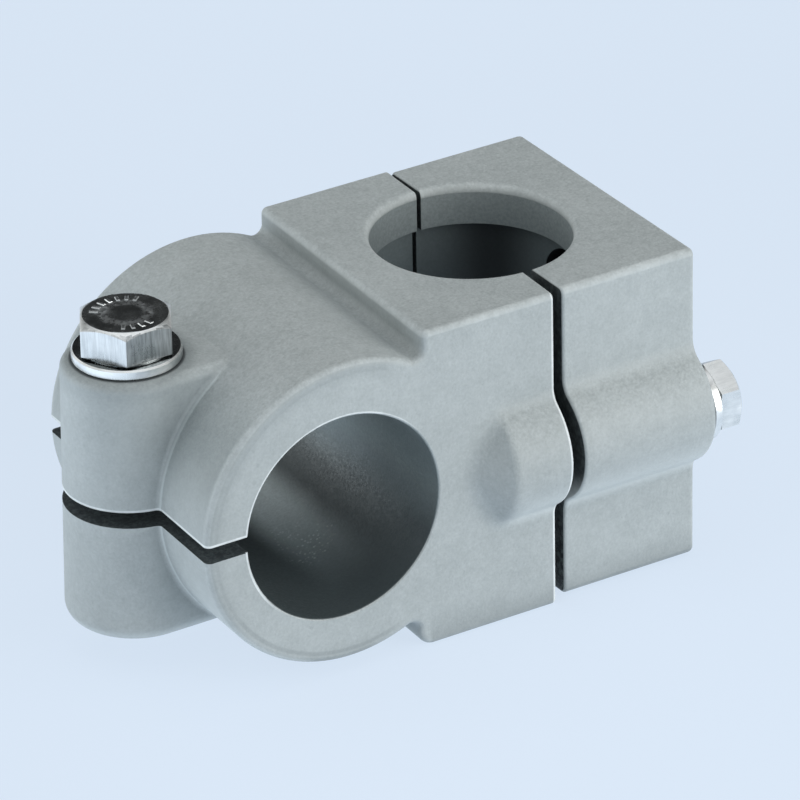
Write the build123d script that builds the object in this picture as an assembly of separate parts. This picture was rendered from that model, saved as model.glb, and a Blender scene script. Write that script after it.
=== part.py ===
from build123d import *
import os
from math import sqrt, cos, sin, radians

# Cross clamp block for an upright 30 mm tube and a level 32 mm tube that cross at a right angle without meeting.
# Frame: origin on the axis of the vertical tube, at mid-height of the square block; +Z up along the vertical tube,
# +Y to the rear along the horizontal tube, +X to the right, square to the plane where the cap is split off.
# All lengths in millimetres.

# ---- tubes and bores -------------------------------------------------------------------------------------------
upright_r = 15.0         # vertical bore, for a 30 mm tube
level_r = 16.0           # horizontal bore, for a 32 mm tube
rim = 1.1                # rounded edge at both ends of the vertical bore
level_rim = 0.25         # broken edge at both ends of the horizontal bore
land_h = 6.4             # height of the gripping land at each end of the vertical bore
relief_r = 16.5          # the vertical bore is relieved between its two lands

# ---- square block around the vertical bore ---------------------------------------------------------------------
x_left = -23.3           # left face of the block above the barrel, at its front corner
x_left_low = -24.6       # left face of the block below the barrel, at its front corner
x_right = 23.8           # right face of the cap
slot_body = -1.15        # split face of the body, at the front
slot_cap = 0.7           # split face of the cap (the gap between the two is 1.85 at the front)
slot_lean = 1.45         # the body's split face comes this much closer to the cap over its length to the rear
y_front = -24.0          # front face, also the front of the barrel
y_rear = 24.0            # rear face, also the rear of the barrel
z_half = 25.6            # the block reaches this far above and below mid-height
cap_front_inset = 0.6    # the cap casting is a little smaller than the body
cap_rear_inset = 0.6
cap_bottom_inset = 0.7
edge_r = 0.95            # rounding of the body's front and rear edges
corner_r = 1.05          # rounding of the long upper left edge
corner_low_r = 2.4       # rounding of the long lower left edge
cap_long_r = 1.1         # rounding of the cap's long edges
cap_edge_r = 1.0         # rounding of the cap's right-hand outline
slot_edge_r = 0.45       # rounding of the body's edges along the split
cap_slot_edge_r = 0.5    # rounding of the cap's edges along the split
left_draft = 1.9         # barrel and left face lean in towards the rear by this many degrees

# ---- barrel around the horizontal bore -------------------------------------------------------------------------
barrel_x = -37.1         # axis of the horizontal bore
shell_x = -36.1          # axis of the barrel's outside, at the front
barrel_z = 0.5           # centre height of the barrel's outside
hbore_z = 0.0            # centre height of the horizontal bore
barrel_r = 23.8
web_r = 1.4              # hollow where the barrel runs into the block
slit_z = 0.45            # centre height of the slit in the barrel
slit_h = 2.5

# ---- lug of the barrel clamp -----------------------------------------------------------------------------------
lug_x = -58.2            # axis of the barrel bolt
lug_y = (y_front + y_rear) / 2
lug_r = 9.7              # rounded outer end of the lug, at its seat
lug_draft = 1.1          # the lug widens downwards by this many degrees a side
lug_top = 21.8           # seat of the washer
lug_bottom = -19.8
lug_edge_r = 1.5         # rounding round the seat
lug_low_r = 2.6          # rounding round the underside
lug_web_r = 0.8          # hollow where the lug runs into the barrel

# ---- bosses for the two cap bolts ------------------------------------------------------------------------------
boss_r = 9.9
boss_in = 4.5            # the boss is struck from a line this far inside the face of the block
boss_z = 0.0             # height of the boss and of its bolt
boss_web_r = 3.0         # hollows along the foot of the boss
boss_crest_x = -10.8     # where the crest of the blind end starts to fall away
boss_cone_len = 6.0      # the blind end is a cone
boss_cone_drop = 6.8
boss_nose_r = 1.5
bolt_in = 1.4            # the cap bolts lie this far inside the front and rear faces

# ---- fasteners -------------------------------------------------------------------------------------------------
m8_r, m8_af, m8_k, m8_len = 4.0, 13.0, 5.3, 35.0
m6_r, m6_af, m6_k, m6_len = 3.0, 10.0, 4.0, 35.0
washer_t = 1.6
m8_washer_r, m8_washer_hole = 8.0, 4.2
m6_washer_r, m6_washer_hole = 6.0, 3.2
m8_clear_r = 4.25        # plain hole through the upper half of the lug
m6_clear_r = 3.3         # plain holes through the cap
thread_gap = 0.05        # radial play modelled between a thread's crest and its hole
m8_hole_bottom = -14.5   # blind tapped hole in the lower half of the lug
m6_hole_bottom = -10.9   # blind tapped holes in the body

front_bolt_y = y_front + bolt_in
rear_bolt_y = y_rear - bolt_in
front_boss_y = y_front + boss_in
rear_boss_y = y_rear - boss_in


def box(x0, x1, y0, y1, z0, z1):
    return Pos((x0 + x1) / 2, (y0 + y1) / 2, (z0 + z1) / 2) * Box(x1 - x0, y1 - y0, z1 - z0)


def rod_z(x, y, r, z0, z1):
    return Pos(x, y, (z0 + z1) / 2) * Cylinder(r, z1 - z0)


def rod_y(x, z, r, y0, y1):
    return Pos(x, (y0 + y1) / 2, z) * Rot(90, 0, 0) * Cylinder(r, y1 - y0)


def rod_x(y, z, r, x0, x1):
    return Pos((x0 + x1) / 2, y, z) * Rot(0, 90, 0) * Cylinder(r, x1 - x0)


def near(value, target, tol=0.02):
    return abs(value - target) < tol


# ---- body casting ----------------------------------------------------------------------------------------------
# Its outline seen from the front: the round barrel and the left half of the square block, run together by hollows.
def outline_points():
    share = barrel_r / (barrel_r + web_r)
    rows = []
    for side, wall, turn_r in ((1, x_left, corner_r), (-1, x_left_low, corner_low_r)):
        c45 = turn_r * (1 - sqrt(0.5))
        rise = sqrt((barrel_r + web_r) ** 2 - (wall - shell_x - web_r) ** 2)
        hollow = (wall - web_r, barrel_z + side * rise)
        on_barrel = (shell_x + share * (hollow[0] - shell_x), barrel_z + share * (hollow[1] - barrel_z))
        on_wall = (wall, hollow[1])
        middle = ((on_barrel[0] + on_wall[0]) / 2 - hollow[0], (on_barrel[1] + on_wall[1]) / 2 - hollow[1])
        length = sqrt(middle[0] ** 2 + middle[1] ** 2)
        deepest = (hollow[0] + middle[0] * web_r / length, hollow[1] + middle[1] * web_r / length)
        rows.append((on_barrel, deepest, on_wall,
                     (wall, side * (z_half - turn_r)), (wall + c45, side * (z_half - c45)),
                     (wall + turn_r, side * z_half), (slot_body + 6, side * z_half)))
    return rows


up, down = outline_points()
outline = make_face(Curve() + [
    ThreePointArc(down[0], (shell_x - barrel_r, barrel_z), up[0]),
    ThreePointArc(up[0], up[1], up[2]),
    Line(up[2], up[3]),
    ThreePointArc(up[3], up[4], up[5]),
    Line(up[5], up[6]),
    Line(up[6], down[6]),
    Line(down[6], down[5]),
    ThreePointArc(down[5], down[4], down[3]),
    Line(down[3], down[2]),
    ThreePointArc(down[2], down[1], down[0]),
])
lean = radians(left_draft)
axis = Vector(sin(lean), cos(lean), 0)
outline_plane = Plane(origin=Vector(0, y_front, 0) - axis * 10, x_dir=(cos(lean), -sin(lean), 0), z_dir=(-sin(lean), -cos(lean), 0))
body = extrude(outline_plane * outline, amount=-(y_rear - y_front + 20))
split_end = slot_body + slot_lean + 0.6      # the castings' length before the split face is cut
body = body & box(-90, split_end, y_front, y_rear, -60, 60)


def off_barrel(p):
    """Distance of a point from the barrel's outer surface."""
    across = (p.X - shell_x * cos(lean)) * cos(lean) - (p.Y - (y_front + shell_x * sin(lean) * -1)) * sin(lean)
    return sqrt(across ** 2 + (p.Z - barrel_z) ** 2) - barrel_r


# outer edges of the front and rear faces, without the edges along the split
def face_rim(solid, y):
    return [e for e in solid.edges()
            if near(e.center().Y, y) and near(e.bounding_box().size.Y, 0, 1e-3) and e.center().X < slot_body - 0.05]

body = fillet(face_rim(body, y_front) + face_rim(body, y_rear), edge_r)

# lug: upright plate with a round outer end, open towards the barrel
lug_plan = Pos(lug_x, lug_y) * Circle(lug_r) + Pos((lug_x + barrel_x) / 2, lug_y) * Rectangle(barrel_x - lug_x, 2 * lug_r)
lug = extrude(Plane.XY.offset(lug_top) * lug_plan, amount=lug_top - lug_bottom, dir=(0, 0, -1), taper=-lug_draft)
top_rim = [e for e in lug.edges() if near(e.center().Z, lug_top) and e.center().X < barrel_x - 1]
low_rim = [e for e in lug.edges() if near(e.center().Z, lug_bottom) and e.center().X < barrel_x - 1]
lug = fillet(top_rim, lug_edge_r)
low_rim = [e for e in lug.edges() if near(e.center().Z, lug_bottom) and e.center().X < barrel_x - 1]
lug = fillet(low_rim, lug_low_r)
before = set((round(e.center().X, 3), round(e.center().Y, 3), round(e.center().Z, 3)) for e in body.edges() + lug.edges())
body = body + lug
joint_edges = [e for e in body.edges()
               if (round(e.center().X, 3), round(e.center().Y, 3), round(e.center().Z, 3)) not in before
               and e.center().X < barrel_x and abs(e.center().Y - lug_y) <= lug_r + 0.05]
on_barrel = [e for e in joint_edges if all(near(off_barrel(p), 0, 0.02) for p in (e @ 0.1, e @ 0.5, e @ 0.9))]
body = fillet(on_barrel, lug_web_r)


# bosses on the front and rear faces, from the split to a conical blind end, run into the face by a hollow
for y_face, boss_y in ((y_front, front_boss_y), (y_rear, rear_boss_y)):
    tip = Pos(boss_crest_x, boss_y, boss_z) * Rot(0, -90, 0) * Cone(
        boss_r, boss_r - boss_cone_drop, boss_cone_len, align=(Align.CENTER, Align.CENTER, Align.MIN))
    boss = rod_x(boss_y, boss_z, boss_r, boss_crest_x, split_end) + tip
    crest = [e for e in boss.edges() if near(e.center().X, boss_crest_x) and e.length > 10]
    boss = fillet(crest, boss_nose_r)
    # keep only what stands outside the relieved bore wall
    inner = 6.0 if y_face == y_front else -6.0
    boss = boss & box(-40, 5, min(boss_y + inner, boss_y - inner * 2), max(boss_y + inner, boss_y - inner * 2), -15, 15)
    body += boss
    foot = [e for e in body.edges()
            if all(near(p.Y, y_face, 0.02) for p in (e @ 0.05, e @ 0.5, e @ 0.95))
            and abs(e.center().Z - boss_z) < boss_r and boss_crest_x - boss_cone_len < e.center().X < slot_body - 0.05]
    body = fillet(foot, boss_web_r)

# split face, leaning towards the cap at the rear, and the edges along it
lean_per_mm = slot_lean / (y_rear - y_front)


def off_split(p):
    return p.X - slot_body - lean_per_mm * (p.Y - y_front)


beyond = [(slot_body + lean_per_mm * -16, y_front - 16), (30, y_front - 16), (30, y_rear + 16),
          (slot_body + lean_per_mm * (y_rear + 16 - y_front), y_rear + 16)]
body -= extrude(Plane.XY.offset(-60) * make_face(Polyline(beyond + beyond[:1])), amount=120)
split = [e for e in body.edges() if all(near(off_split(p), 0) for p in (e @ 0.05, e @ 0.5, e @ 0.95))]
body = fillet(split, slot_edge_r)

# vertical bore with its lands, its relief and the rounded rims at both ends
def vertical_bore(z0, z1):
    c45 = rim * (1 - sqrt(0.5))
    rows = [
        Line((0, z0 - 5), (upright_r + rim, z0 - 5)),
        Line((upright_r + rim, z0 - 5), (upright_r + rim, z0)),
        ThreePointArc((upright_r + rim, z0), (upright_r + c45, z0 + c45), (upright_r, z0 + rim)),
        Line((upright_r, z0 + rim), (upright_r, -(z_half - land_h))),
        Line((upright_r, -(z_half - land_h)), (relief_r, -(z_half - land_h))),
        Line((relief_r, -(z_half - land_h)), (relief_r, z_half - land_h)),
        Line((relief_r, z_half - land_h), (upright_r, z_half - land_h)),
        Line((upright_r, z_half - land_h), (upright_r, z1 - rim)),
        ThreePointArc((upright_r, z1 - rim), (upright_r + c45, z1 - c45), (upright_r + rim, z1)),
        Line((upright_r + rim, z1), (upright_r + rim, z1 + 5)),
        Line((upright_r + rim, z1 + 5), (0, z1 + 5)),
        Line((0, z1 + 5), (0, z0 - 5)),
    ]
    return revolve(Plane.XZ * make_face(Curve() + rows), Axis.Z, 360)


body -= vertical_bore(-z_half, z_half)

# horizontal bore
body -= rod_y(barrel_x, hbore_z, level_r, y_front - 5, y_rear + 5)
rim_edges = [e for e in body.edges()
             if (near(e.center().Y, y_front, 0.01) or near(e.center().Y, y_rear, 0.01))
             and near(sqrt(((e @ 0.5).X - barrel_x) ** 2 + ((e @ 0.5).Z - hbore_z) ** 2), level_r, 0.02)]
body = chamfer(rim_edges, level_rim)

# slit through the outer wall of the barrel and through the lug
body -= box(-90, barrel_x - 8, y_front - 5, y_rear + 5, slit_z - slit_h / 2, slit_z + slit_h / 2)

# bolt holes
body -= rod_z(lug_x, lug_y, m8_clear_r, slit_z, lug_top + 5)
tapped = rod_z(lug_x, lug_y, m8_r + thread_gap, m8_hole_bottom, slit_z)
tapped += Pos(lug_x, lug_y, m8_hole_bottom - 0.6) * Cone(0.6, m8_r + thread_gap, 1.2 * 1.0)
body -= tapped
for y in (front_bolt_y, rear_bolt_y):
    body -= rod_x(y, boss_z, m6_r + thread_gap, m6_hole_bottom, slot_body + 3)

clamp_body = body.solids()[0] if len(body.solids()) == 1 else body

# ---- cap casting -----------------------------------------------------------------------------------------------
cap_y0 = y_front + cap_front_inset
cap_y1 = y_rear - cap_rear_inset
cap_z0 = -z_half + cap_bottom_inset


def cap_section():
    """Section of the cap across X: a rectangle with rounded corners and a boss on its front and rear sides."""
    c45 = cap_long_r * (1 - sqrt(0.5))
    lines = []
    for y_face, boss_y, out in ((cap_y0, front_boss_y, -1), (cap_y1, rear_boss_y, 1)):
        y_hollow = y_face + out * boss_web_r
        rise = sqrt((boss_r + boss_web_r) ** 2 - (y_hollow - boss_y) ** 2)
        share = boss_r / (boss_r + boss_web_r)
        ends = []
        for side in (1, -1):
            hollow = (y_hollow, boss_z + side * rise)
            on_boss = (boss_y + share * (hollow[0] - boss_y), boss_z + share * (hollow[1] - boss_z))
            on_face = (y_face, hollow[1])
            mid = ((on_boss[0] + on_face[0]) / 2 - hollow[0], (on_boss[1] + on_face[1]) / 2 - hollow[1])
            length = sqrt(mid[0] ** 2 + mid[1] ** 2)
            deep = (hollow[0] + mid[0] * boss_web_r / length, hollow[1] + mid[1] * boss_web_r / length)
            lines.append(ThreePointArc(on_boss, deep, on_face))
            corner_z = z_half if side == 1 else cap_z0
            lines.append(Line(on_face, (y_face, corner_z - side * cap_long_r)))
            lines.append(ThreePointArc((y_face, corner_z - side * cap_long_r), (y_face - out * c45, corner_z - side * c45),
                                       (y_face - out * cap_long_r, corner_z)))
            ends.append(on_boss)
        lines.append(ThreePointArc(ends[0], (boss_y + out * boss_r, boss_z), ends[1]))
    for z in (z_half, cap_z0):
        lines.append(Line((cap_y0 + cap_long_r, z), (cap_y1 - cap_long_r, z)))
    return make_face(Curve() + lines)


cap = extrude(Plane(origin=(slot_cap, 0, 0), x_dir=(0, 1, 0), z_dir=(1, 0, 0)) * cap_section(), amount=x_right - slot_cap)
cap = fillet([e for e in cap.edges() if all(near(p.X, x_right) for p in (e @ 0.05, e @ 0.5, e @ 0.95))], cap_edge_r)
split = [e for e in cap.edges() if all(near(p.X, slot_cap) for p in (e @ 0.05, e @ 0.5, e @ 0.95))]
cap = fillet(split, cap_slot_edge_r)
cap -= vertical_bore(cap_z0, z_half)
for y in (front_bolt_y, rear_bolt_y):
    cap -= rod_x(y, boss_z, m6_clear_r, slot_cap - 3, x_right + 3)
# round blind pocket in the relieved wall, just under the upper land
cap -= rod_x(0, 13.0, 4.6, 10.0, 20.7)
clamp_cap = cap.solids()[0] if len(cap.solids()) == 1 else cap


# ---- fasteners -------------------------------------------------------------------------------------------------
def hex_bolt(r, af, k, length, corner_deg):
    """Hexagon head bolt along +Z, under-head face at z = 0, shank downwards; one corner at corner_deg."""
    head = extrude(Plane.XY * (Rot(0, 0, corner_deg) * RegularPolygon(af / 2, 6, major_radius=False, rotation=0)), amount=k)
    # the upper corners are turned off at 30 degrees
    r_in, r_out = af / 2 * 0.95, af / 2 * 1.35
    drop = (r_out - r_in) * 0.5774
    turned = Cylinder(r_out, k - drop, align=(Align.CENTER, Align.CENTER, Align.MIN)) \
        + Pos(0, 0, k - drop) * Cone(r_out, r_in, drop, align=(Align.CENTER, Align.CENTER, Align.MIN))
    head = head & turned
    shank = Pos(0, 0, -length) * Cylinder(r, length + 0.5, align=(Align.CENTER, Align.CENTER, Align.MIN))
    shank = chamfer([e for e in shank.edges() if near(e.center().Z, -length)], r * 0.2)
    return head + shank


def flat_washer(r, hole):
    """Flat washer, lower face at z = 0."""
    ring = Cylinder(r, washer_t, align=(Align.CENTER, Align.CENTER, Align.MIN)) \
        - Cylinder(hole, 3 * washer_t)
    outer = [e for e in ring.edges().filter_by(GeomType.CIRCLE) if near(e.radius, r, 0.01)]
    return chamfer(outer, 0.25)


upright = Pos(lug_x, lug_y, lug_top)
barrel_washer = upright * flat_washer(m8_washer_r, m8_washer_hole)
barrel_bolt = Pos(lug_x, lug_y, lug_top + washer_t) * hex_bolt(m8_r, m8_af, m8_k, m8_len, 0.6)

nodes = {"clamp_body": clamp_body, "clamp_cap": clamp_cap, "barrel_bolt": barrel_bolt, "barrel_washer": barrel_washer}
for name, y in (("front_cap", front_bolt_y), ("rear_cap", rear_bolt_y)):
    seat = Pos(x_right, y, boss_z) * Rot(0, 90, 0)
    nodes[name + "_washer"] = seat * flat_washer(m6_washer_r, m6_washer_hole)
    nodes[name + "_bolt"] = Pos(x_right + washer_t, y, boss_z) * Rot(0, 90, 0) * hex_bolt(m6_r, m6_af, m6_k, m6_len, 0.0)

os.makedirs("parts", exist_ok=True)
for name, shape in nodes.items():
    export_step(shape, f"parts/{name}.step")
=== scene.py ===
import bpy
import bmesh
from math import atan2, sin, cos, pi, radians, sqrt, tan
from mathutils import Matrix, Vector


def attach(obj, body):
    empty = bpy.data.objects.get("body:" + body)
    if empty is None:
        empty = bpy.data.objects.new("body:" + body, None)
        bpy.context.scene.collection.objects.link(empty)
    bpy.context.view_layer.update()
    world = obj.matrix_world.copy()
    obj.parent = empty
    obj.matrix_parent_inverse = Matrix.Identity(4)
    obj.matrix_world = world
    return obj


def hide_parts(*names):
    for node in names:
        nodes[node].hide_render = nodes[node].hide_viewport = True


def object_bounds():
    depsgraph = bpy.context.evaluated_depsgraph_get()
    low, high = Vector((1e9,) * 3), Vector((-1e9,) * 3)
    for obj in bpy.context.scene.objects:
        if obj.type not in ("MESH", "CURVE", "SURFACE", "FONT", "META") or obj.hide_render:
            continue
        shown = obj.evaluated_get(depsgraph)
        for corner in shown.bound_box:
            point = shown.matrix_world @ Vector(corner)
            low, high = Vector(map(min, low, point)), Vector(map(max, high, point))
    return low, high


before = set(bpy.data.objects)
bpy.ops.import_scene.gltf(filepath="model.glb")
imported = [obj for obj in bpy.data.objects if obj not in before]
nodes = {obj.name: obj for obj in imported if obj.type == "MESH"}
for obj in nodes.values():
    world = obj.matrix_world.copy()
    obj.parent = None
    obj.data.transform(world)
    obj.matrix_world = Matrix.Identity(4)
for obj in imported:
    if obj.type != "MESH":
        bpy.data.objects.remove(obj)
cad_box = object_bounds()
MM = 0.001

# ---------------------------------------------------------------------------------------------------------------
# node helpers
# ---------------------------------------------------------------------------------------------------------------


class Tree:
    """A material being built: short calls for nodes and links."""

    def __init__(self, name):
        self.mat = bpy.data.materials.new(name)
        self.mat.use_nodes = True
        self.t = self.mat.node_tree
        self.t.nodes.clear()
        self.out = self.t.nodes.new("ShaderNodeOutputMaterial")
        self.bsdf = self.t.nodes.new("ShaderNodeBsdfPrincipled")
        self.link(self.bsdf.outputs[0], self.out.inputs["Surface"])

    def new(self, kind, **props):
        n = self.t.nodes.new(kind)
        for k, v in props.items():
            setattr(n, k, v)
        return n

    def link(self, a, b):
        self.t.links.new(a, b)

    def feed(self, socket, value):
        if isinstance(value, bpy.types.NodeSocket):
            self.link(value, socket)
        else:
            socket.default_value = value

    def coords(self):
        return self.new("ShaderNodeTexCoord").outputs["Object"]

    def noise(self, vector, scale, detail=2.0, rough=0.5, distortion=0.0, lac=2.0):
        n = self.new("ShaderNodeTexNoise")
        self.feed(n.inputs["Vector"], vector)
        n.inputs["Scale"].default_value = scale
        n.inputs["Detail"].default_value = detail
        n.inputs["Roughness"].default_value = rough
        n.inputs["Lacunarity"].default_value = lac
        n.inputs["Distortion"].default_value = distortion
        return n.outputs["Fac"]

    def voronoi(self, vector, scale, feature="F1"):
        n = self.new("ShaderNodeTexVoronoi", feature=feature)
        self.feed(n.inputs["Vector"], vector)
        n.inputs["Scale"].default_value = scale
        return n.outputs["Distance"]

    def math(self, op, a, b=None, c=None, clamp=False):
        n = self.new("ShaderNodeMath", operation=op, use_clamp=clamp)
        self.feed(n.inputs[0], a)
        if b is not None:
            self.feed(n.inputs[1], b)
        if c is not None:
            self.feed(n.inputs[2], c)
        return n.outputs[0]

    def ramp(self, value, lo, hi, out_lo=0.0, out_hi=1.0, smooth=True):
        n = self.new("ShaderNodeMapRange", clamp=True)
        n.interpolation_type = "SMOOTHSTEP" if smooth else "LINEAR"
        self.feed(n.inputs["Value"], value)
        n.inputs["From Min"].default_value = lo
        n.inputs["From Max"].default_value = hi
        n.inputs["To Min"].default_value = out_lo
        n.inputs["To Max"].default_value = out_hi
        return n.outputs["Result"]

    def mix(self, fac, a, b, blend="MIX"):
        n = self.new("ShaderNodeMix", data_type="RGBA", blend_type=blend)
        self.feed(n.inputs[0], fac)
        self.feed(n.inputs[6], a)
        self.feed(n.inputs[7], b)
        return n.outputs[2]

    def split(self, vector):
        n = self.new("ShaderNodeSeparateXYZ")
        self.feed(n.inputs[0], vector)
        return n.outputs[0], n.outputs[1], n.outputs[2]

    def bump(self, height, distance, strength=1.0, normal=None):
        n = self.new("ShaderNodeBump")
        n.inputs["Strength"].default_value = strength
        n.inputs["Distance"].default_value = distance
        self.feed(n.inputs["Height"], height)
        if normal is not None:
            self.link(normal, n.inputs["Normal"])
        return n.outputs[0]

    def closeness(self, distance):
        """How much of the space within that distance of a point is taken up: 0 in the open, 1 in a tight corner."""
        n = self.new("ShaderNodeAmbientOcclusion", samples=8)
        n.inputs["Distance"].default_value = distance
        return self.math("SUBTRACT", 1.0, n.outputs["AO"], clamp=True)

    def edge(self, radius):
        """How far the surface turns within that radius: 0 on flats, more on edges."""
        bevel = self.new("ShaderNodeBevel", samples=6)
        bevel.inputs["Radius"].default_value = radius
        geo = self.new("ShaderNodeNewGeometry")
        dot = self.new("ShaderNodeVectorMath", operation="DOT_PRODUCT")
        self.link(bevel.outputs[0], dot.inputs[0])
        self.link(geo.outputs["Normal"], dot.inputs[1])
        return self.math("SUBTRACT", 1.0, dot.outputs["Value"], clamp=True)


def srgb(r, g, b):
    def one(c):
        c /= 255.0
        return c / 12.92 if c <= 0.04045 else ((c + 0.055) / 1.055) ** 2.4
    return (one(r), one(g), one(b), 1.0)


# ---------------------------------------------------------------------------------------------------------------
# casting: bead-blasted light alloy, turned in the bores, sawn in the slit and the split
# ---------------------------------------------------------------------------------------------------------------
BARREL_X, BARREL_Z = -37.1 * MM, 0.0
SHELL_X, SHELL_Z, SHELL_R = -36.1 * MM, 0.5 * MM, 23.8 * MM
LAND_R, RELIEF_R, LEVEL_R, RIM, TOP = 15.0 * MM, 16.5 * MM, 16.0 * MM, 1.1 * MM, 25.6 * MM
LAND_LOW = 19.2 * MM
SLIT_Z, SLIT_HALF = 0.45 * MM, 1.25 * MM
SPLIT_A, SPLIT_B, SPLIT_LEAN = -1.15 * MM, 0.7 * MM, 1.45 / 48
FRONT = -24.0 * MM


def casting_material(name):
    m = Tree(name)
    p = m.coords()
    x, y, z = m.split(p)
    nx, ny, nz = m.split(m.new("ShaderNodeNewGeometry").outputs["Normal"])
    upward = m.ramp(nz, 0.3, 0.85, 0.55, 1.0)
    # tone: broad clouds from the blasting, a fine grain, and small dull specks
    cloud = m.noise(p, 48.0, 3.0, 0.55)
    patch = m.noise(p, 240.0, 3.0, 0.6)
    grain = m.noise(p, 2300.0, 2.0, 0.6)
    tone = m.math("ADD", m.ramp(cloud, 0.3, 0.7, -0.06, 0.06), m.ramp(patch, 0.3, 0.7, -0.05, 0.05))
    fleck_tone = m.math("ADD", m.ramp(grain, 0.25, 0.75, -0.24, 0.24, smooth=False),
                        m.ramp(m.noise(p, 950.0, 3.0, 0.7), 0.3, 0.7, -0.12, 0.12, smooth=False))
    tone = m.math("ADD", tone, m.math("MULTIPLY", fleck_tone, upward))
    base = m.mix(m.math("ADD", 0.5, m.math("MULTIPLY", tone, 2.0)), srgb(160, 167, 167), srgb(184, 191, 191))
    # small dark pits, sparse
    pit = m.voronoi(p, 420.0)
    pit = m.math("MULTIPLY", m.ramp(pit, 0.10, 0.20, 1.0, 0.0), m.ramp(patch, 0.52, 0.62))
    base = m.mix(m.math("MULTIPLY", pit, 0.16), base, srgb(120, 127, 128))
    # edges painted lighter: a painted highlight on the roundings of the front, rear, top and bottom faces, with some
    # rubbing wear
    far_y, far_z, lean_y, lean_z = (m.math("ABSOLUTE", v) for v in (y, z, ny, nz))
    turn_y = m.math("MULTIPLY", m.ramp(lean_y, 0.84, 0.96, 1.0, 0.0), m.ramp(far_y, 22.2 * MM, 22.7 * MM))
    turn_y = m.math("MULTIPLY", turn_y, m.ramp(lean_y, 0.03, 0.20))
    turn_y = m.math("MULTIPLY", turn_y, m.ramp(far_y, 24.06 * MM, 24.16 * MM, 1.0, 0.0))
    turn_z = m.math("MULTIPLY", m.ramp(lean_z, 0.84, 0.96, 1.0, 0.0), m.ramp(far_z, 24.2 * MM, 24.7 * MM))
    turn_z = m.math("MULTIPLY", turn_z, m.ramp(lean_z, 0.03, 0.20))
    foot = m.math("MULTIPLY", m.ramp(far_z, 12.5 * MM, 11.5 * MM), m.ramp(x, -20.0 * MM, -18.0 * MM))
    step = m.math("MULTIPLY", m.ramp(x, -33.0 * MM, -29.0 * MM), m.ramp(x, -23.2 * MM, -22.2 * MM, 1.0, 0.0))
    step = m.math("MULTIPLY", step, m.ramp(far_z, 25.3 * MM, 25.1 * MM))
    turn_y = m.math("MULTIPLY", turn_y, m.math("SUBTRACT", 1.0, m.math("MAXIMUM", foot, step), clamp=True))
    turn_y = m.math("MULTIPLY", turn_y, m.ramp(m.math("SUBTRACT", z, x), 34.0 * MM, 46.0 * MM, 1.0, 0.25))
    turn_z = m.math("MULTIPLY", turn_z, m.ramp(m.math("MULTIPLY", nx, m.ramp(x, -20.0 * MM, -21.0 * MM)), -0.05, -0.3, 1.0, 0.5))
    turn_z = m.math("MULTIPLY", turn_z, m.ramp(m.math("ADD", m.math("POWER", x, 2.0), m.math("POWER", y, 2.0)), (16.1 * MM) ** 2, (16.6 * MM) ** 2, 0.55, 1.0))
    wear_and_highlight = m.math("MULTIPLY", m.math("MAXIMUM", turn_y, turn_z), m.ramp(patch, 0.3, 0.65, 0.45, 1.0))
    base = m.mix(m.math("MULTIPLY", wear_and_highlight, 0.24), base, srgb(222, 229, 229))
    # painted shade: a faint dark ring a little inside the outer edge of the barrel's ends, widening into a darker band
    # towards the upper left
    sx, sz = m.math("SUBTRACT", x, SHELL_X), m.math("SUBTRACT", z, SHELL_Z)
    r_shell = m.math("SQRT", m.math("ADD", m.math("POWER", sx, 2.0), m.math("POWER", sz, 2.0)))
    ring = m.ramp(m.math("ABSOLUTE", m.math("SUBTRACT", r_shell, SHELL_R - 1.55 * MM)), 0.15 * MM, 0.5 * MM, 1.0, 0.0)
    wide = m.math("MULTIPLY", m.ramp(r_shell, SHELL_R - 3.6 * MM, SHELL_R - 1.0 * MM), m.ramp(m.math("SUBTRACT", z, x), 36.0 * MM, 50.0 * MM))
    ring = m.math("MAXIMUM", ring, m.math("MULTIPLY", wide, 0.8))
    ring = m.math("MULTIPLY", ring, m.math("MULTIPLY", m.ramp(far_y, 23.85 * MM, 23.95 * MM), m.ramp(x, -27.0 * MM, -31.0 * MM)))
    base = m.mix(m.math("MULTIPLY", ring, 0.30), base, srgb(118, 126, 128))
    # bores: distance from either bore's axis
    r_up = m.math("SQRT", m.math("ADD", m.math("POWER", x, 2.0), m.math("POWER", y, 2.0)))
    dx = m.math("SUBTRACT", x, BARREL_X)
    dz = m.math("SUBTRACT", z, BARREL_Z)
    r_level = m.math("SQRT", m.math("ADD", m.math("POWER", dx, 2.0), m.math("POWER", dz, 2.0)))
    height = m.math("ABSOLUTE", z)
    below = m.ramp(height, TOP - RIM - 0.05 * MM, TOP - RIM - 0.25 * MM, 0.0, 1.0)
    in_land = m.math("MULTIPLY", m.ramp(r_up, LAND_R + 0.04 * MM, LAND_R + 0.12 * MM, 1.0, 0.0), below)
    in_relief = m.math("MULTIPLY", m.ramp(r_up, RELIEF_R + 0.05 * MM, RELIEF_R + 0.12 * MM, 1.0, 0.0),
                       m.ramp(height, LAND_LOW - 0.02 * MM, LAND_LOW + 0.05 * MM, 1.0, 0.0))
    in_level = m.ramp(r_level, LEVEL_R + 0.04 * MM, LEVEL_R + 0.12 * MM, 1.0, 0.0)
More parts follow.
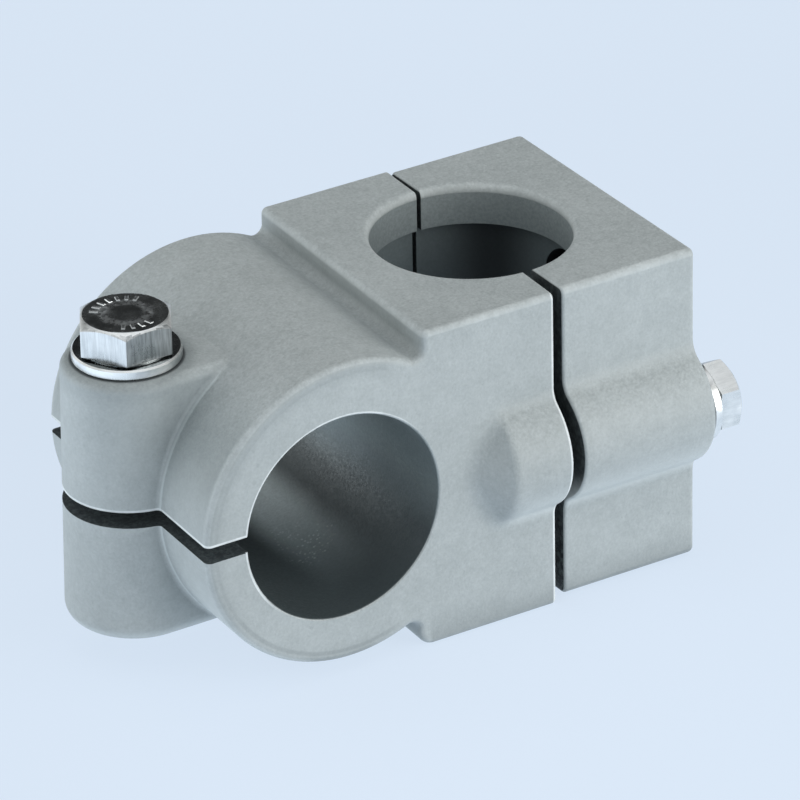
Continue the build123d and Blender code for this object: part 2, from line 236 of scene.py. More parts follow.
    # painted shade: hollows and corners darkened by how closed in they are
    corner_shade = m.math("MULTIPLY", m.ramp(m.closeness(9.0 * MM), 0.05, 0.60), m.math("SUBTRACT", 1.0, m.math("MAXIMUM", in_land, in_level), clamp=True))
    corner_shade = m.math("MULTIPLY", corner_shade, m.ramp(lean_y, 0.3, 0.8, 0.6, 1.0))
    near_wall = m.math("MULTIPLY", m.ramp(x, -34.0 * MM, -31.0 * MM), m.math("MULTIPLY", m.ramp(x, -22.4 * MM, -23.2 * MM), m.ramp(far_z, 15.0 * MM, 19.0 * MM)))
    corner_shade = m.math("MULTIPLY", corner_shade, m.math("SUBTRACT", 1.0, m.math("MULTIPLY", near_wall, 0.75)))
    corner_shade = m.math("MULTIPLY", corner_shade, m.ramp(x, -49.0 * MM, -46.0 * MM, 0.72, 1.0))
    base = m.mix(m.math("MULTIPLY", corner_shade, 0.5), base, srgb(96, 104, 106))
    # long shaded hollow between the barrel and the block, fading out over the barrel
    lean_x = m.math("SUBTRACT", x, m.math("MULTIPLY", m.math("SUBTRACT", y, FRONT), 0.0332))
    web = m.math("MULTIPLY", m.ramp(lean_x, -25.9 * MM, -24.1 * MM), m.ramp(lean_x, -23.1 * MM, -22.6 * MM, 1.0, 0.0))
    web = m.math("MULTIPLY", web, m.math("MULTIPLY", m.ramp(far_z, 15.0 * MM, 20.0 * MM), m.ramp(far_z, 25.0 * MM, 24.3 * MM)))
    web = m.math("MULTIPLY", web, m.math("MULTIPLY", m.ramp(lean_y, 0.75, 0.55), m.ramp(y, -18.0 * MM, 20.0 * MM, 1.0, 0.45)))
    base = m.mix(m.math("MULTIPLY", web, 0.20), base, srgb(84, 94, 94))
    # turned wall of the level bore: streaks along it, with painted light and shade: darker deeper in, paler on the
    # block's side and towards the middle below
    speck = m.noise(p, 2100.0, 3.0, 0.65)
    broad = m.noise(p, 60.0, 2.0, 0.5)
    around = m.math("ARCTAN2", dz, dx)
    depth = m.math("SUBTRACT", y, FRONT)
    deep = m.ramp(depth, 6.0 * MM, 32.0 * MM)
    side = m.ramp(m.math("ADD", around, m.ramp(broad, 0.2, 0.8, -0.08, 0.08)), radians(-32), radians(2))
    under = m.math("ABSOLUTE", m.math("ADD", m.math("ADD", around, m.ramp(broad, 0.2, 0.8, 0.03, -0.03)), radians(67)))
    under = m.ramp(under, radians(5), radians(24), 1.0, 0.0)
    turned = m.mix(deep, srgb(82, 91, 93), srgb(62, 70, 72))
    turned = m.mix(side, turned, m.mix(deep, srgb(142, 153, 154), srgb(152, 164, 165)))
    turned = m.mix(m.math("MULTIPLY", under, m.ramp(depth, 4.0 * MM, 34.0 * MM)), turned, srgb(196, 206, 207))
    turned = m.mix(m.ramp(speck, 0.3, 0.7, 0.16, 0.0), turned, srgb(60, 66, 68))
    # painted glints: bright specks on the lower wall, partway in
    painted_glint = m.math("MULTIPLY", m.ramp(m.voronoi(p, 1500.0), 0.34, 0.20), m.math("MULTIPLY", under, m.ramp(patch, 0.48, 0.62)))
    painted_glint = m.math("MULTIPLY", painted_glint, m.math("MULTIPLY", m.ramp(depth, 12.0 * MM, 17.0 * MM), m.ramp(depth, 24.0 * MM, 30.0 * MM, 1.0, 0.0)))
    turned = m.mix(m.math("MULTIPLY", painted_glint, 0.42), turned, srgb(228, 235, 235))
    # painted shade: the upright bore's lands darker than the outside, darker still on the barrel's side
    land_tone = m.mix(m.ramp(speck, 0.3, 0.7), srgb(126, 135, 136), srgb(140, 149, 150))
    turn = m.math("ARCTAN2", y, x)
    land_tone = m.mix(m.ramp(m.math("ABSOLUTE", turn), radians(105), radians(150), 0.0, 0.30), land_tone, srgb(84, 93, 95))
    base = m.mix(in_land, base, land_tone)
    # as-cast wall between the lands: painted shade, darkest at the rear right and paler to either side
    away = m.ramp(m.math("ABSOLUTE", m.math("SUBTRACT", turn, radians(47))), radians(2), radians(34))
    relief_tone = m.mix(away, srgb(42, 48, 50), srgb(108, 118, 120))
    relief_tone = m.mix(m.ramp(turn, radians(84), radians(96)), relief_tone, srgb(124, 135, 137))
    relief_tone = m.mix(m.ramp(speck, 0.3, 0.7, 0.12, 0.0), relief_tone, srgb(40, 45, 47))
    base = m.mix(in_relief, base, relief_tone)
    base = m.mix(in_level, base, turned)
    # unlit blind pocket in the cap's relieved wall
    pocket = m.math("MULTIPLY", m.ramp(r_up, RELIEF_R + 0.08 * MM, RELIEF_R + 0.16 * MM), m.ramp(r_up, 21.4 * MM, 21.2 * MM, 0.0, 1.0))
    pocket = m.math("MULTIPLY", pocket, m.math("MULTIPLY", m.ramp(far_y, 4.8 * MM, 4.7 * MM, 0.0, 1.0), m.ramp(x, 14.0 * MM, 15.0 * MM)))
    pocket = m.math("MULTIPLY", pocket, m.ramp(m.math("ABSOLUTE", m.math("SUBTRACT", z, 13.0 * MM)), 4.8 * MM, 4.7 * MM, 0.0, 1.0))
    base = m.mix(pocket, base, srgb(26, 30, 32))
    # sawn faces of the slit and of the split: painted shade, dark with lighter specks towards the bottom
    in_slit = m.math("MULTIPLY", m.ramp(m.math("ABSOLUTE", m.math("SUBTRACT", z, SLIT_Z)), SLIT_HALF + 0.01 * MM, SLIT_HALF + 0.05 * MM, 1.0, 0.0),
                     m.ramp(x, -45.4 * MM, -45.2 * MM, 1.0, 0.0))
    body_side = m.math("SUBTRACT", x, m.math("MULTIPLY", m.math("SUBTRACT", y, FRONT), SPLIT_LEAN))
    in_split = m.math("MULTIPLY", m.ramp(body_side, SPLIT_A - 0.06 * MM, SPLIT_A - 0.01 * MM), m.ramp(x, SPLIT_B + 0.06 * MM, SPLIT_B + 0.01 * MM, 0.0, 1.0))
    cut = m.math("MAXIMUM", in_slit, in_split, clamp=True)
    coarse = m.noise(p, 1100.0, 3.0, 0.7)
    sawn_face_shade = m.mix(m.ramp(coarse, 0.42, 0.62), srgb(38, 44, 46), srgb(96, 106, 106))
    sawn_face_shade = m.mix(m.ramp(z, -8.0 * MM, -20.0 * MM, 0.35, 0.95), m.mix(m.ramp(speck, 0.3, 0.7), srgb(46, 52, 54), srgb(62, 68, 70)), sawn_face_shade)
    base = m.mix(cut, base, sawn_face_shade)
    # painted highlights: thin bright lines on the upper lip of the slit, the body's edge along the split and the rim of
    # the level bore
    lip = m.math("MULTIPLY", m.ramp(m.math("SUBTRACT", z, SLIT_Z + SLIT_HALF), 0.30 * MM, 0.42 * MM, 1.0, 0.0),
                 m.math("MULTIPLY", m.ramp(z, SLIT_Z + SLIT_HALF - 0.02 * MM, SLIT_Z + SLIT_HALF + 0.01 * MM), m.ramp(x, -51.0 * MM, -52.0 * MM)))
    brow = m.math("MULTIPLY", m.ramp(m.math("SUBTRACT", body_side, SPLIT_A), -0.55 * MM, -0.42 * MM),
                  m.math("MULTIPLY", m.ramp(m.math("SUBTRACT", body_side, SPLIT_A), -0.02 * MM, -0.06 * MM), m.ramp(far_y, 23.2 * MM, 23.7 * MM)))
    rim = m.math("MULTIPLY", m.ramp(r_level, LEVEL_R + 0.36 * MM, LEVEL_R + 0.50 * MM, 1.0, 0.0),
                 m.math("MULTIPLY", m.ramp(far_y, 23.72 * MM, 23.76 * MM), m.ramp(m.math("SUBTRACT", dz, dx), -4.0 * MM, 8.0 * MM)))
    painted_edge_lines = m.math("MULTIPLY", m.math("MAXIMUM", m.math("MAXIMUM", lip, brow), rim), m.ramp(patch, 0.3, 0.6, 0.6, 1.0))
    base = m.mix(m.math("MULTIPLY", painted_edge_lines, 0.75), base, srgb(240, 246, 246))
    # painted highlight along the line where the lug's foot meets the barrel, painted shade on the lug's sides and
    # beside that line, painted shade on the barrel's flank, and a painted highlight on the lower flank of the bosses
    lean_sx = m.math("SUBTRACT", m.math("SUBTRACT", m.math("MULTIPLY", x, 0.99945), m.math("MULTIPLY", depth, 0.03316)), SHELL_X)
    off_shell = m.math("SUBTRACT", m.math("SQRT", m.math("ADD", m.math("POWER", lean_sx, 2.0), m.math("POWER", sz, 2.0))), SHELL_R)
    at_lug = m.math("MULTIPLY", m.ramp(x, -44.0 * MM, -46.0 * MM), m.ramp(far_y, 20.0 * MM, 19.0 * MM))
    at_lug = m.math("MULTIPLY", at_lug, m.ramp(lean_z, 0.85, 0.7))
    foot_highlight = m.math("MULTIPLY", m.ramp(off_shell, 0.012 * MM, 0.035 * MM), m.ramp(off_shell, 0.10 * MM, 0.26 * MM, 1.0, 0.0))
    beside_shade = m.math("MULTIPLY", m.ramp(off_shell, 0.16 * MM, 0.5 * MM), m.ramp(off_shell, 0.6 * MM, 2.6 * MM, 1.0, 0.0))
    lug_side_shade = m.math("MULTIPLY", m.math("MULTIPLY", m.ramp(off_shell, 0.8 * MM, 4.0 * MM), m.ramp(x, -46.0 * MM, -48.0 * MM)), m.math("MULTIPLY", m.ramp(lean_y, 0.2, 0.75), m.ramp(z, 1.0 * MM, 18.0 * MM, 0.5, 1.0)))
    lug_side_shade = m.math("MULTIPLY", lug_side_shade, m.ramp(z, 0.6 * MM, 1.2 * MM))
    base = m.mix(m.math("MULTIPLY", lug_side_shade, 0.20), base, srgb(96, 106, 106))
    base = m.mix(m.math("MULTIPLY", m.math("MULTIPLY", foot_highlight, at_lug), 0.42), base, srgb(214, 224, 224))
    base = m.mix(m.math("MULTIPLY", m.math("MULTIPLY", beside_shade, at_lug), 0.06), base, srgb(96, 106, 106))
    # painted shade on the barrel's flank beside the lug
    bend = m.math("ARCTAN2", sz, lean_sx)
    barrel_flank_shade = m.math("MULTIPLY", m.ramp(bend, radians(118), radians(146)), m.ramp(bend, radians(148), radians(177), 1.0, 0.25))
    barrel_flank_shade = m.math("MULTIPLY", barrel_flank_shade, m.math("MULTIPLY", m.ramp(far_y, 23.2 * MM, 22.4 * MM), m.ramp(off_shell, 0.12 * MM, 0.5 * MM, 1.0, 0.0)))
    barrel_flank_shade = m.math("MULTIPLY", barrel_flank_shade, m.ramp(off_shell, -0.6 * MM, -0.3 * MM))
    base = m.mix(m.math("MULTIPLY", barrel_flank_shade, 0.46), base, srgb(96, 106, 106))
    # painted highlight: light from below on the lower flank of the bosses
    under_boss_highlight = m.math("MULTIPLY", m.ramp(z, -10.8 * MM, -9.0 * MM), m.ramp(z, -7.5 * MM, -2.0 * MM, 1.0, 0.0))
    under_boss_highlight = m.math("MULTIPLY", under_boss_highlight, m.math("MULTIPLY", m.ramp(far_y, 23.30 * MM, 23.38 * MM), m.ramp(x, -11.0 * MM, -7.0 * MM)))
    base = m.mix(m.math("MULTIPLY", under_boss_highlight, 0.48), base, srgb(222, 228, 226))
    # painted light from below: downward-facing surfaces towards the lug paler
    base = m.mix(m.math("MULTIPLY", m.math("MULTIPLY", m.ramp(nz, -0.1, -0.6), m.ramp(x, -40.0 * MM, -46.0 * MM)), 0.34), base, srgb(222, 228, 226))
    # painted shadow round the washers: a soft shade round the barrel bolt's washer and a dark contact line at each
    # washer's edge; the seat under each washer is rubbed paler
    def radius(a, b, a0, b0):
        da, db = m.math("SUBTRACT", a, a0), m.math("SUBTRACT", b, b0)
        return m.math("SQRT", m.math("ADD", m.math("POWER", da, 2.0), m.math("POWER", db, 2.0)))

    from_bolt = radius(x, y, -58.2 * MM, 0.0)
    on_seat = m.ramp(z, 20.5 * MM, 21.2 * MM)
    seat_shadow = m.math("MULTIPLY", m.math("MULTIPLY", m.ramp(from_bolt, 8.12 * MM, 8.55 * MM, 1.0, 0.0), m.ramp(from_bolt, 7.45 * MM, 7.75 * MM)), on_seat)
    washer_shade = m.math("MULTIPLY", m.math("MULTIPLY", m.ramp(from_bolt, 8.3 * MM, 11.0 * MM, 1.0, 0.0), m.ramp(from_bolt, 7.3 * MM, 7.6 * MM)), m.ramp(z, 17.0 * MM, 20.6 * MM))
    base = m.mix(m.math("MULTIPLY", washer_shade, 0.42), base, srgb(104, 112, 114))
    from_cap_bolt = radius(far_y, z, 22.6 * MM, 0.0)
    on_cap_seat = m.ramp(x, 22.6 * MM, 23.3 * MM)
    cap_seat_shadow = m.math("MULTIPLY", m.math("MULTIPLY", m.ramp(from_cap_bolt, 6.10 * MM, 6.45 * MM, 1.0, 0.0), m.ramp(from_cap_bolt, 5.55 * MM, 5.8 * MM)), on_cap_seat)
    rubbed = m.math("MAXIMUM", m.math("MULTIPLY", m.ramp(from_bolt, 7.4 * MM, 7.7 * MM, 1.0, 0.0), on_seat),
                    m.math("MULTIPLY", m.ramp(from_cap_bolt, 5.5 * MM, 5.75 * MM, 1.0, 0.0), on_cap_seat))
    base = m.mix(m.math("MULTIPLY", rubbed, m.ramp(grain, 0.3, 0.7, 0.35, 0.65)), base, srgb(206, 210, 210))
    base = m.mix(m.math("MULTIPLY", m.math("MAXIMUM", seat_shadow, cap_seat_shadow), 0.85), base, srgb(40, 45, 48))
    m.feed(m.bsdf.inputs["Base Color"], base)
    bore = m.math("MAXIMUM", in_land, m.math("MAXIMUM", in_relief, in_level), clamp=True)
    m.feed(m.bsdf.inputs["Metallic"], m.math("MULTIPLY", in_level, 0.35))
    rough = m.math("SUBTRACT", m.ramp(grain, 0.3, 0.7, 0.52, 0.66), m.math("MULTIPLY", in_level, 0.14))
    m.feed(m.bsdf.inputs["Roughness"], rough)
    # the blasted skin: fine pits over a barely uneven surface, nearly none in the bores
    skin = m.math("SUBTRACT", 1.0, m.math("MULTIPLY", bore, 0.75))
    fine = m.math("ADD", m.noise(p, 2700.0, 2.0, 0.6), m.math("MULTIPLY", m.voronoi(p, 1900.0), 0.6))
    fine = m.math("MULTIPLY", m.math("MULTIPLY", fine, skin), upward)
    soft = m.noise(p, 300.0, 3.0, 0.55)
    n1 = m.bump(soft, 0.16 * MM, 0.4)
    n2 = m.bump(fine, 0.08 * MM, 0.85, n1)
    m.link(n2, m.bsdf.inputs["Normal"])
    return m.mat


def zinc_material(name, tone_a, tone_b, rough_a, rough_b, painted_shade_and_dark_top=False, bolt=False, head_highlight_ring=False):
    m = Tree(name)
    p = m.coords()
    cloud = m.noise(p, 260.0, 4.0, 0.6, 0.4)
    fine = m.noise(p, 2400.0, 3.0, 0.6)
    base = m.mix(m.ramp(cloud, 0.32, 0.68), tone_a, tone_b)
    # edges painted lighter: part wear, part painted highlight
    edge = m.edge(0.35 * MM)
    wear_and_highlight = m.ramp(edge, 0.02, 0.25)
    base = m.mix(m.math("MULTIPLY", wear_and_highlight, 0.5), base, srgb(236, 238, 236))
    rough = m.math("ADD", m.ramp(cloud, 0.3, 0.7, rough_a, rough_b), m.ramp(fine, 0.3, 0.7, -0.03, 0.03))
    if bolt or head_highlight_ring:
        own = m.new("ShaderNodeAttribute", attribute_name="own_mm").outputs["Vector"]
    if bolt:
        stretch = m.new("ShaderNodeVectorMath", operation="MULTIPLY")
        m.link(own, stretch.inputs[0])
        stretch.inputs[1].default_value = (2.4, 2.4, 0.22)
        streak = m.noise(stretch.outputs[0], 1.0, 3.0, 0.65)
        flank = m.new("ShaderNodeAttribute", attribute_name="flank_light").outputs["Fac"]
        # painted light and shade: each flank of the head mixed by its own amount towards a darker streaked tone
        flank_shade_tone = m.mix(m.ramp(streak, 0.3, 0.7), srgb(84, 90, 93), srgb(168, 174, 176))
        base = m.mix(flank, flank_shade_tone, base)
        base = m.mix(m.ramp(streak, 0.35, 0.65, 0.10, 0.0), base, srgb(120, 126, 129))
    # painted highlight: a pale ring on the head's top
    if head_highlight_ring:
        ox, oy, oz = m.split(own)
        r_own = m.math("SQRT", m.math("ADD", m.math("POWER", ox, 2.0), m.math("POWER", oy, 2.0)))
        ring = m.ramp(m.math("ABSOLUTE", m.math("SUBTRACT", r_own, 3.3)), 0.3, 1.3, 1.0, 0.0)
        ring = m.math("MULTIPLY", ring, m.ramp(m.noise(own, 1.6, 3.0, 0.6), 0.35, 0.6, 0.25, 1.0))
        base = m.mix(m.math("MULTIPLY", ring, 0.65), base, srgb(232, 236, 237))
        rough = m.math("ADD", rough, m.math("MULTIPLY", ring, 0.16))
    if painted_shade_and_dark_top:
        # painted shade on the washer's right side, and a painted dark reflection on its flat top
        wx, wy = m.split(p)[:2]
        way = m.math("ARCTAN2", wy, m.math("SUBTRACT", wx, -58.2 * MM))
        right = m.math("MULTIPLY", m.ramp(way, radians(-85), radians(-35)), m.ramp(way, radians(60), radians(120), 1.0, 0.0))
        base = m.mix(m.math("MULTIPLY", right, m.ramp(fine, 0.3, 0.7, 0.5, 0.9)), base, srgb(150, 156, 158))
        flat = m.ramp(m.split(m.new("ShaderNodeNewGeometry").outputs["Normal"])[2], 0.93, 0.99)
        base = m.mix(flat, base, m.mix(m.ramp(cloud, 0.32, 0.68), srgb(120, 125, 127), srgb(146, 151, 153)))
        rough = m.math("SUBTRACT", rough, m.math("MULTIPLY", flat, rough_a - 0.16))
    m.feed(m.bsdf.inputs["Base Color"], base)
    m.bsdf.inputs["Metallic"].default_value = 1.0
    m.feed(m.bsdf.inputs["Roughness"], rough)
    m.link(m.bump(m.math("ADD", m.math("MULTIPLY", cloud, 0.8), m.math("MULTIPLY", fine, 0.25)), 0.03 * MM, 0.4), m.bsdf.inputs["Normal"])
    return m.mat


casting = casting_material("blasted_casting")
zinc = zinc_material("zinc_bolt_side", srgb(226, 229, 228), srgb(244, 246, 245), 0.26, 0.38, bolt=True)
zinc_top = zinc_material("zinc_bolt_top", srgb(156, 161, 163), srgb(188, 193, 194), 0.18, 0.28, head_highlight_ring=True)
zinc_mark = zinc_material("zinc_bolt_mark", srgb(176, 180, 182), srgb(206, 210, 211), 0.3, 0.4)
zinc_thread = zinc_material("zinc_bolt_thread", srgb(168, 170, 168), srgb(196, 198, 195), 0.28, 0.4)
zinc_washer = zinc_material("zinc_washer_face", srgb(218, 222, 222), srgb(246, 248, 247), 0.28, 0.40)

for n in ("clamp_body", "clamp_cap"):
    nodes[n].data.materials.clear()
    nodes[n].data.materials.append(casting)
zinc_seat = zinc_material("zinc_washer_upright", srgb(228, 231, 230), srgb(248, 250, 249), 0.28, 0.40, painted_shade_and_dark_top=True)
for n, mat in (("barrel_washer", zinc_seat), ("front_cap_washer", zinc_washer), ("rear_cap_washer", zinc_washer)):
    nodes[n].data.materials.clear()
    nodes[n].data.materials.append(mat)


# ---------------------------------------------------------------------------------------------------------------
# bolts: hexagon head with turned-off corners and plain raised dashes, shank with a rolled thread
# ---------------------------------------------------------------------------------------------------------------
# painted light and shade: each flank of a head gets its own painted brightness
FLANK_SHADING = (0.34, 0.85, 0.6, 0.92, 1.0, 0.66)   # how bright each flank of a head is


def hex_radius(angle, across):
    """Distance from the axis to the hexagon's side; a corner lies at angle 0."""
    a = angle % (pi / 3)
    return across / 2 / cos(a - pi / 6)


def bolt_object(name, body, node, d, across, k, length, pitch, plain, dashes):
    """Bolt along +Z with its under-head face at z = 0. Lengths in mm."""
    bm = bmesh.new()
    seg = 96
    r_flat = across / 2 * 0.95
    slope = tan(radians(30))
    rings = []

    def ring(points):
        rings.append([bm.verts.new((px * MM, py * MM, pz * MM)) for px, py, pz in points])

    angles = [2 * pi * i / seg for i in range(seg)]
    soft = 0.18
    # head from the top centre out and down to the under-head face
    for r in (r_flat * 0.35, r_flat * 0.7, r_flat - 0.25):
        ring([(r * cos(a), r * sin(a), k) for a in angles])
    ring([((r_flat + 0.03) * cos(a), (r_flat + 0.03) * sin(a), k - 0.03) for a in angles])
    for step in (0.5, 1.0):
        pts = []
        for a in angles:
            rh = hex_radius(a, across) - soft
            r = r_flat + 0.03 + (max(rh, r_flat + 0.04) - r_flat - 0.03) * step
            pts.append((r * cos(a), r * sin(a), k - (r - r_flat) * slope - 0.03))
        ring(pts)
    pts = []
    for a in angles:
        rh = hex_radius(a, across)
        zt = k - (max(rh, r_flat) - r_flat) * slope - soft * 0.75
        pts.append((rh * cos(a), rh * sin(a), zt))
    ring(pts)
    for z in (k * 0.45, 0.55):
        ring([(hex_radius(a, across) * cos(a), hex_radius(a, across) * sin(a), z) for a in angles])
    ring([((hex_radius(a, across) - 0.02) * cos(a), (hex_radius(a, across) - 0.02) * sin(a), 0.32) for a in angles])
    # round washer face under the head
    r_face = across / 2 * 0.955
    ring([((r_face + 0.12) * cos(a), (r_face + 0.12) * sin(a), 0.28) for a in angles])
    ring([(r_face * cos(a), r_face * sin(a), 0.22) for a in angles])
    ring([(r_face * cos(a), r_face * sin(a), 0.02) for a in angles])
    head_rings = len(rings)
    # plain shank, then the thread
    r = d / 2
    ring([(r * cos(a), r * sin(a), 0.02) for a in angles])
    ring([(r * cos(a), r * sin(a), -plain) for a in angles])
    depth = 0.6134 * pitch
    z0, z1 = -plain, -(length)
    turns = (z0 - z1) / pitch
    per = 8
    count = int(turns * per)
    for i in range(1, count + 1):
        z_mid = z0 - (z0 - z1) * i / count
        pts = []
        for a in angles:
            phase = ((z0 - z_mid) / pitch + a / (2 * pi)) % 1.0
            tri = abs(2 * phase - 1)
            cut = depth * min(1.0, max(0.0, (tri - 0.125) / 0.72))
            run_in = min(1.0, (z0 - z_mid) / (1.2 * pitch))
            run_out = min(1.0, max(0.0, (z_mid - z1) / (1.3 * pitch)))
            rr = r - cut * run_in
            rr = min(rr, r - depth * 1.05 * (1 - run_out))
            pts.append((rr * cos(a), rr * sin(a), z_mid))
        ring(pts)
    for upper, lower in zip(rings, rings[1:]):
        for i in range(seg):
            j = (i + 1) % seg
            bm.faces.new((upper[i], lower[i], lower[j], upper[j]))
    top = bm.verts.new((0, 0, k * MM))
    for i in range(seg):
        bm.faces.new((top, rings[0][i], rings[0][(i + 1) % seg]))
    end = bm.verts.new((0, 0, -length * MM))
    for i in range(seg):
        bm.faces.new((end, rings[-1][(i + 1) % seg], rings[-1][i]))
    bm.faces.ensure_lookup_table()
    tone = bm.faces.layers.float.new("flank_light")
    for f in bm.faces:
        c = f.calc_center_median()
        f[tone] = 1.0
        if 0.3 * MM < c.z < (k - 0.3) * MM:
            f[tone] = FLANK_SHADING[int(atan2(c.y, c.x) % (2 * pi) / (pi / 3)) % 6]
        rr = sqrt(c.x ** 2 + c.y ** 2)
        if c.z > (k - 0.02) * MM:
            f.material_index = 1
        elif c.z < -0.5 * MM:
            f.material_index = 2
        else:
            f.material_index = 0
        f.smooth = True
    bmesh.ops.recalc_face_normals(bm, faces=bm.faces)
    # plain raised dashes on the head
    for ang, r_in, r_out, half, kind in dashes:
        a = radians(ang)
        if kind == "radial":
            ax, ay = (cos(a), sin(a)), (-sin(a), cos(a))
            mid, hl, hw = (r_in + r_out) / 2, (r_out - r_in) / 2, half
        else:
            ax, ay = (-sin(a), cos(a)), (cos(a), sin(a))
            mid, hl, hw = (r_in + r_out) / 2, half, (r_out - r_in) / 2
        cx, cy = mid * cos(a), mid * sin(a)
        quads = []
        for grow, zz in ((0.10, k - 0.02), (0.07, k + 0.05), (0.0, k + 0.12)):
            loop = []
            for sx, sy in ((-1, -1), (1, -1), (1, 1), (-1, 1)):
                px = cx + sx * (hl + grow) * ax[0] + sy * (hw + grow) * ay[0]
                py = cy + sx * (hl + grow) * ax[1] + sy * (hw + grow) * ay[1]
                loop.append(bm.verts.new((px * MM, py * MM, zz * MM)))
            quads.append(loop)
        made = []
        for lo, hi in zip(quads, quads[1:]):
            for i in range(4):
                j = (i + 1) % 4
                made.append(bm.faces.new((lo[i], lo[j], hi[j], hi[i])))
        made.append(bm.faces.new(quads[-1]))
        made.append(bm.faces.new(list(reversed(quads[0]))))
        for f in made:
            f.material_index = 3
        bmesh.ops.recalc_face_normals(bm, faces=made)
    me = bpy.data.meshes.new(name)
    bm.to_mesh(me)
    bm.free()
    own = me.attributes.new("own_mm", "FLOAT_VECTOR", "POINT")
    for i, v in enumerate(me.vertices):
        own.data[i].vector = v.co / MM * (13.0 / across)
    me.set_sharp_from_angle(angle=radians(28))
    ob = bpy.data.objects.new(name, me)
    bpy.context.scene.collection.objects.link(ob)
    for mat in (zinc, zinc_top, zinc_thread, zinc_mark):
        me.materials.append(mat)
    return ob


def dash_ring(across):
    s = across / 13.0
    rows = []
    for ang in (160, 177, 194, 211, 228, 245, 262):
        rows.append((ang, 4.0 * s, 5.1 * s, 0.2 * s, "radial"))
    for ang in (-4, 13, 30, 47):
        rows.append((ang, 4.0 * s, 5.1 * s, 0.2 * s, "radial"))
    return rows


# seats, in mm: barrel bolt upright on its washer, cap bolts along X on theirs
LUG = (-58.2, 0.0, 23.4)
CAP_X, CAP_Y, CAP_Z = 25.4, 22.6, 0.0

barrel = bolt_object("barrel_bolt_detail", "clamp_bolt", "barrel_bolt", 8.0, 13.0, 5.3, 35.0, 1.25, 11.0, dash_ring(13.0))
barrel.data.transform(Matrix.Translation(Vector(LUG) * MM) @ Matrix.Rotation(radians(-119.4), 4, "Z"))
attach(barrel, "clamp_bolt")
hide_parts("barrel_bolt")
for label, sign in (("front", -1), ("rear", 1)):
    ob = bolt_object(label + "_cap_bolt_detail", label + "_bolt", label + "_cap_bolt", 6.0, 10.0, 4.0, 35.0, 1.0, 9.0, dash_ring(10.0))
    turn = Matrix.Rotation(pi / 2, 4, "Y")
    ob.data.transform(Matrix.Translation(Vector((CAP_X, sign * CAP_Y, CAP_Z)) * MM) @ turn)
    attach(ob, label + "_bolt")
    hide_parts(label + "_cap_bolt")

# ---------------------------------------------------------------------------------------------------------------
# studio: pale table, soft lights, long lens
# ---------------------------------------------------------------------------------------------------------------
lo, hi = cad_box
floor_z = lo.z - 0.05 * MM
floor_mesh = bpy.data.meshes.new("floor")
floor_mesh.from_pydata([(-3, -3, floor_z), (3, -3, floor_z), (3, 3, floor_z), (-3, 3, floor_z)], [], [(0, 1, 2, 3)])
floor = bpy.data.objects.new("floor", floor_mesh)
bpy.context.scene.collection.objects.link(floor)
fm = Tree("pale_table")
fp = fm.coords()
shade = fm.mix(fm.ramp(fm.noise(fp, 3.0, 2.0, 0.5), 0.3, 0.7), srgb(212, 225, 240), srgb(216, 229, 244))
fm.feed(fm.bsdf.inputs["Base Color"], fm.mix(0.80, shade, (0.0, 0.0, 0.0, 1.0)))
fm.bsdf.inputs["Roughness"].default_value = 0.95
fm.bsdf.inputs["Specular IOR Level"].default_value = 0.1
fm.feed(fm.bsdf.inputs["Emission Color"], shade)
fx, fy, fz = fm.split(fp)
glow = fm.ramp(fx, -0.30, -0.05, 2.0, 0.90)
front_dim = fm.math("MULTIPLY", fm.ramp(fy, -0.03, -0.08), fm.math("MULTIPLY", fm.ramp(fx, -0.11, -0.06), fm.ramp(fx, 0.02, -0.01)))
glow = fm.math("MULTIPLY", glow, fm.math("SUBTRACT", 1.0, fm.math("MULTIPLY", front_dim, 0.50)))
seen = fm.new("ShaderNodeLightPath").outputs["Is Camera Ray"]
fm.feed(fm.bsdf.inputs["Emission Strength"], fm.math("ADD", fm.math("MULTIPLY", seen, 0.872), fm.math("MULTIPLY", fm.math("SUBTRACT", 1.0, seen), glow)))
floor.data.materials.append(fm.mat)

WORLD, WORLD_TOP, WORLD_LEFT = 0.43, 0.80, 3.0
KEY, TOP_LIGHT, LEFT_LIGHT = 5.0, 3.3, 1.7

scene = bpy.context.scene
scene.view_settings.view_transform = "Standard"
scene.view_settings.look = "None"
scene.view_settings.exposure = 0.0

world = bpy.data.worlds.new("studio")
scene.world = world
world.use_nodes = True
wt = world.node_tree
wt.nodes.clear()
w_out = wt.nodes.new("ShaderNodeOutputWorld")
w_lit = wt.nodes.new("ShaderNodeBackground")
w_seen = wt.nodes.new("ShaderNodeBackground")
w_mix = wt.nodes.new("ShaderNodeMixShader")
w_path = wt.nodes.new("ShaderNodeLightPath")
w_seen.inputs["Color"].default_value = srgb(214, 227, 242)
w_seen.inputs["Strength"].default_value = 1.0
# studio walls: bright towards the horizon, dimmer overhead, and a dark corner behind and above the object
w_dir = wt.nodes.new("ShaderNodeTexCoord").outputs["Generated"]


def w_lobe(direction, lo, hi, inside, outside):
    dot = wt.nodes.new("ShaderNodeVectorMath")
    dot.operation = "DOT_PRODUCT"
    wt.links.new(w_dir, dot.inputs[0])
    dot.inputs[1].default_value = Vector(direction).normalized()
    r = wt.nodes.new("ShaderNodeMapRange")
    r.interpolation_type = "SMOOTHSTEP"
    r.inputs["From Min"].default_value = lo
    r.inputs["From Max"].default_value = hi
    r.inputs["To Min"].default_value = outside
    r.inputs["To Max"].default_value = inside
    wt.links.new(dot.outputs["Value"], r.inputs["Value"])
    return r.outputs["Result"]


def w_times(a, b):
    n = wt.nodes.new("ShaderNodeMath")
    n.operation = "MULTIPLY"
    wt.links.new(a, n.inputs[0])
    if isinstance(b, float):
        n.inputs[1].default_value = b
    else:
        wt.links.new(b, n.inputs[1])
    return n.outputs[0]


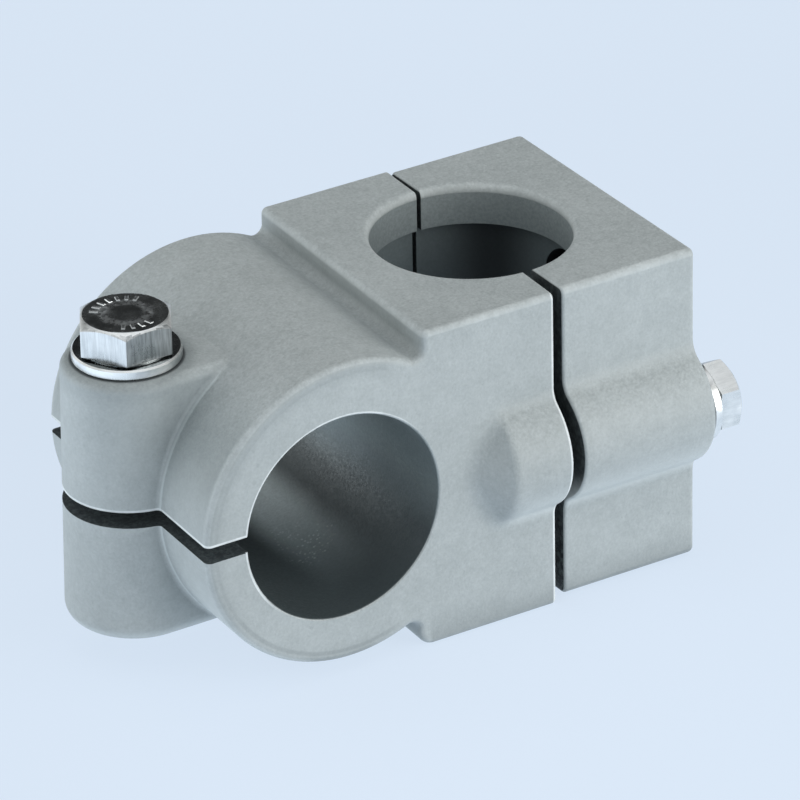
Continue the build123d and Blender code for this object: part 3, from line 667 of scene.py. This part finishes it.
w_up = w_lobe((0, 0, 1), 0.15, 0.85, WORLD_TOP, 1.0)
w_dark = w_lobe((sin(radians(31.4)) * 0.88, cos(radians(31.4)) * 0.88, 0.50), 0.80, 0.985, 0.12, 1.0)
w_left = w_lobe((-0.86, 0.50, -0.06), 0.55, 0.97, WORLD_LEFT, 1.0)
w_total = w_times(w_times(w_times(w_up, w_dark), w_left), WORLD)
w_lit.inputs["Color"].default_value = (0.98, 1.0, 1.0, 1.0)
wt.links.new(w_total, w_lit.inputs["Strength"])
wt.links.new(w_path.outputs["Is Camera Ray"], w_mix.inputs[0])
wt.links.new(w_lit.outputs[0], w_mix.inputs[1])
wt.links.new(w_seen.outputs[0], w_mix.inputs[2])
wt.links.new(w_mix.outputs[0], w_out.inputs["Surface"])

centre = Vector((-20 * MM, 0.0, 0.0))


def area(name, direction, distance, size, power, colour=(1, 1, 1)):
    light = bpy.data.lights.new(name, "AREA")
    light.shape = "RECTANGLE"
    light.size, light.size_y = size
    light.energy = power
    light.color = colour
    ob = bpy.data.objects.new(name, light)
    bpy.context.scene.collection.objects.link(ob)
    d = Vector(direction).normalized()
    ob.location = centre + d * distance
    ob.rotation_mode = "QUATERNION"
    ob.rotation_quaternion = (-d).to_track_quat("-Z", "Y")
    return ob


area("key", (0.55, -0.80, 0.25), 0.9, (0.7, 0.6), KEY, (1.0, 0.995, 0.98))
area("top", (-0.05, -0.05, 1.0), 0.9, (1.3, 1.3), TOP_LIGHT, (0.97, 1.0, 1.05))

area("left", (-0.78, 0.62, 0.0), 0.9, (0.5, 0.4), LEFT_LIGHT, (0.97, 1.0, 1.0))

# camera: azimuth, elevation, roll, distance and focal length found by matching the photograph's outlines
PHI, ELEV, ROLL, FOCAL_PX, U0, V0, DIST = radians(31.418), radians(27.862), radians(1.144), 7086.5, 473.1, 384.95, 1.04775
ahead_flat = Vector((sin(PHI), cos(PHI), 0))
ahead = ahead_flat * cos(ELEV) + Vector((0, 0, -sin(ELEV)))
right = Vector((cos(PHI), -sin(PHI), 0))
up = right.cross(ahead)
up2 = up * cos(ROLL) + right * sin(ROLL)
right2 = right * cos(ROLL) - up * sin(ROLL)
off_x = (U0 - 400) * DIST / FOCAL_PX
off_y = -(V0 - 400) * DIST / FOCAL_PX
cam_data = bpy.data.cameras.new("camera")
cam = bpy.data.objects.new("camera", cam_data)
scene.collection.objects.link(cam)
cam_data.sensor_width = 36.0
cam_data.lens = FOCAL_PX / 800 * 36.0
cam_data.clip_start, cam_data.clip_end = 0.05, 20.0
place = Matrix((
    (right2.x, up2.x, -ahead.x, 0),
    (right2.y, up2.y, -ahead.y, 0),
    (right2.z, up2.z, -ahead.z, 0),
    (0, 0, 0, 1)))
cam.matrix_world = Matrix.Translation(right2 * -off_x + up2 * -off_y - ahead * DIST) @ place
scene.camera = cam

bpy.context.view_layer.update()
